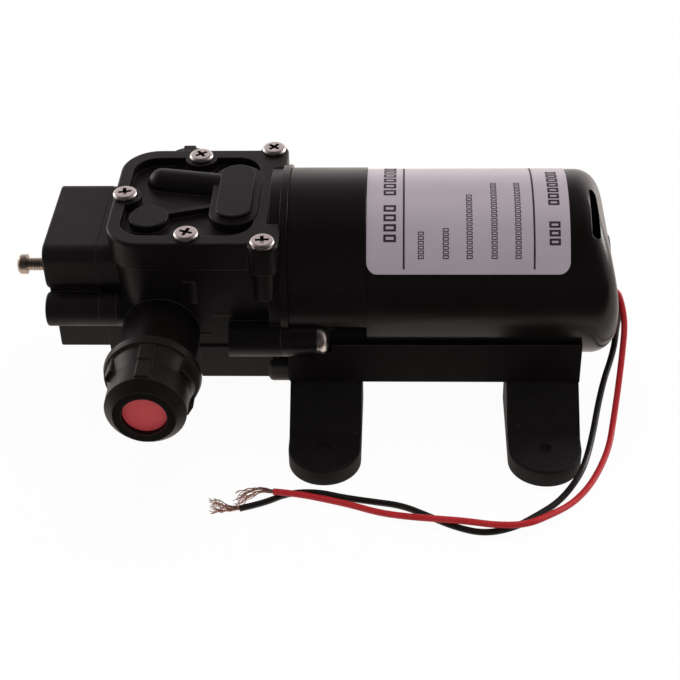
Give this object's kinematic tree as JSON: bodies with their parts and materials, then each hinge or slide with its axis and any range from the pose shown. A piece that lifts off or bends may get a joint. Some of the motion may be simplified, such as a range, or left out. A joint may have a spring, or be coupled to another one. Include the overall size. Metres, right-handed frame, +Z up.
{
  "type": "diaphragm pump",
  "caption": "Small electric diaphragm water pump: round black motor on a saddle with rubber feet, ported pump head with screwed cover, pressure switch and bare-ended leads.",
  "frame": {"origin": "centre of the four foot holes, on the surface that the feet stand on", "axes": "+X along the motor towards its rear end, +Y towards the outlet port, +Z up"},
  "size_m": [0.1744, 0.1324, 0.066],
  "materials": {
    "head_plastic": "fine moulded texture",
    "cover_plastic": "fine moulded texture",
    "switch_plastic": "fine moulded texture",
    "nut_plastic": "moulded",
    "black_paint": "satin black paint",
    "saddle_plastic": "moulded",
    "foot_rubber": "matt black rubber",
    "seal_rubber": "smooth",
    "plug_plastic": "red moulded",
    "bright_steel": "bright nickel plate",
    "plain_steel": "bright",
    "bush_bronze": "sintered",
    "ferrite": "dark grey ceramic",
    "lamination_steel": "stacked sheet",
    "enamelled_copper": "varnished wire",
    "copper": "bare copper",
    "carbon": "matt",
    "inner_plastic": "natural white",
    "switch_works": "moulded",
    "label_film": "printed film",
    "red_insulation": "smooth",
    "black_insulation": "smooth"
  },
  "bodies": {
    "pump_body": {"adapter_ring": "black_paint", "base_saddle": "saddle_plastic", "black_lead": "black_insulation", "black_strands": "copper", "brush_plate": "inner_plastic", "cover_screws": "bright_steel", "cover_seal": "seal_rubber", "diaphragm": "seal_rubber", "diaphragm_seat": "inner_plastic", "feet": "foot_rubber", "field_ring": "plain_steel", "front_bearing": "plain_steel", "front_brush_spring": "bush_bronze", "front_sleeve": "black_paint", "grommet": "seal_rubber", "head_bolts": "bright_steel", "label": "label_film", "lower_housing": "head_plastic", "magnets": "ferrite", "micro_switch": "switch_works", "motor_can": "black_paint", "port_seals": "seal_rubber", "rear_brush_spring": "bush_bronze", "rear_bush": "bush_bronze", "red_lead": "red_insulation", "red_strands": "copper", "saddle_screws": "bright_steel", "switch_base": "switch_plastic", "switch_housing": "switch_plastic", "switch_membrane": "seal_rubber", "switch_screws": "bright_steel", "switch_spring": "plain_steel", "top_cover": "cover_plastic", "umbrella_valves": "seal_rubber", "valve_plate": "inner_plastic"},
    "rotor": {"motor_shaft": "plain_steel", "armature_core": "lamination_steel", "windings": "enamelled_copper", "commutator": "copper", "eccentric_hub": "plain_steel"},
    "left_rod": {"left_connecting_rod": "inner_plastic", "left_rod_bush": "bush_bronze", "left_piston_cap": "inner_plastic", "left_piston_screw": "bright_steel"},
    "right_rod": {"right_connecting_rod": "inner_plastic", "right_rod_bush": "bush_bronze", "right_piston_cap": "inner_plastic", "right_piston_screw": "bright_steel"},
    "front_brush": {"front_brush": "carbon"},
    "rear_brush": {"rear_brush": "carbon"},
    "plunger": {"switch_plunger": "inner_plastic"},
    "button": {"switch_button": "switch_works"},
    "spring_seat": {"spring_seat": "plain_steel"},
    "adjuster": {"adjusting_screw": "bright_steel"},
    "front_collet": {"front_collet": "nut_plastic"},
    "front_nut": {"front_nut": "nut_plastic"},
    "front_plug": {"front_plug": "plug_plastic"},
    "rear_collet": {"rear_collet": "nut_plastic"},
    "rear_nut": {"rear_nut": "nut_plastic"},
    "rear_plug": {"rear_plug": "plug_plastic"}
  },
  "joints": [
    {"name": "shaft_spin", "type": "hinge", "parent": "pump_body", "child": "rotor", "pos_m": [0, 0, 0.0385], "axis": [1, 0, 0], "continuous": true},
    {"name": "left_rod_turn", "type": "hinge", "parent": "rotor", "child": "left_rod", "pos_m": [-0.071, 0, 0.04], "axis": [1, 0, 0], "continuous": true, "deforming": ["diaphragm"]},
    {"name": "right_rod_turn", "type": "hinge", "parent": "rotor", "child": "right_rod", "pos_m": [-0.0545, 0, 0.037], "axis": [1, 0, 0], "continuous": true},
    {"name": "front_brush_slide", "type": "slide", "parent": "pump_body", "child": "front_brush", "axis": [0, -1, 0], "range_m": [0, 0.0015], "stiffness_N_per_m": 150, "springref_m": -0.004, "deforming": ["front_brush_spring"]},
    {"name": "rear_brush_slide", "type": "slide", "parent": "pump_body", "child": "rear_brush", "axis": [0, 1, 0], "range_m": [0, 0.0015], "stiffness_N_per_m": 150, "springref_m": -0.004, "deforming": ["rear_brush_spring"]},
    {"name": "plunger_press", "type": "slide", "parent": "pump_body", "child": "plunger", "axis": [-1, 0, 0], "range_m": [0, 0.0008], "stiffness_N_per_m": 1500, "springref_m": -0.002, "deforming": ["switch_spring", "switch_membrane"]},
    {"name": "button_press", "type": "slide", "parent": "pump_body", "child": "button", "axis": [-1, 0, 0], "range_m": [-0.00005, 0.0009]},
    {"name": "seat_slide", "type": "slide", "parent": "pump_body", "child": "spring_seat", "axis": [1, 0, 0], "range_m": [-0.0005, 0.0025]},
    {"name": "adjuster_turn", "type": "hinge", "parent": "spring_seat", "child": "adjuster", "pos_m": [-0.1029, 0, 0.0374], "axis": [1, 0, 0], "range_deg": [-361, 1801]},
    {"name": "front_nut_travel", "type": "slide", "parent": "pump_body", "child": "front_collet", "axis": [0, -1, 0], "range_m": [0, 0.01]},
    {"name": "front_nut_turn", "type": "hinge", "parent": "front_collet", "child": "front_nut", "pos_m": [-0.076, -0.05, 0.031], "axis": [0, -1, 0], "range_deg": [0, 1801]},
    {"name": "front_plug_pull", "type": "slide", "parent": "front_collet", "child": "front_plug", "axis": [0, -1, 0], "range_m": [0, 0.012]},
    {"name": "rear_nut_travel", "type": "slide", "parent": "pump_body", "child": "rear_collet", "axis": [0, 1, 0], "range_m": [0, 0.01]},
    {"name": "rear_nut_turn", "type": "hinge", "parent": "rear_collet", "child": "rear_nut", "pos_m": [-0.076, 0.05, 0.031], "axis": [0, 1, 0], "range_deg": [0, 1801]},
    {"name": "rear_plug_pull", "type": "slide", "parent": "rear_collet", "child": "rear_plug", "axis": [0, 1, 0], "range_m": [0, 0.012]}
  ],
  "couplings": [
    {"joint": "left_rod_turn", "follows": "shaft_spin", "ratio": -1},
    {"joint": "right_rod_turn", "follows": "shaft_spin", "ratio": -1},
    {"joint": "button_press", "follows": "plunger_press", "ratio": 1},
    {"joint": "adjuster_turn", "follows": "seat_slide", "rad_per_m": 12566},
    {"joint": "front_nut_turn", "follows": "front_nut_travel", "rad_per_m": 3141.6},
    {"joint": "rear_nut_turn", "follows": "rear_nut_travel", "rad_per_m": 3141.6}
  ]
}
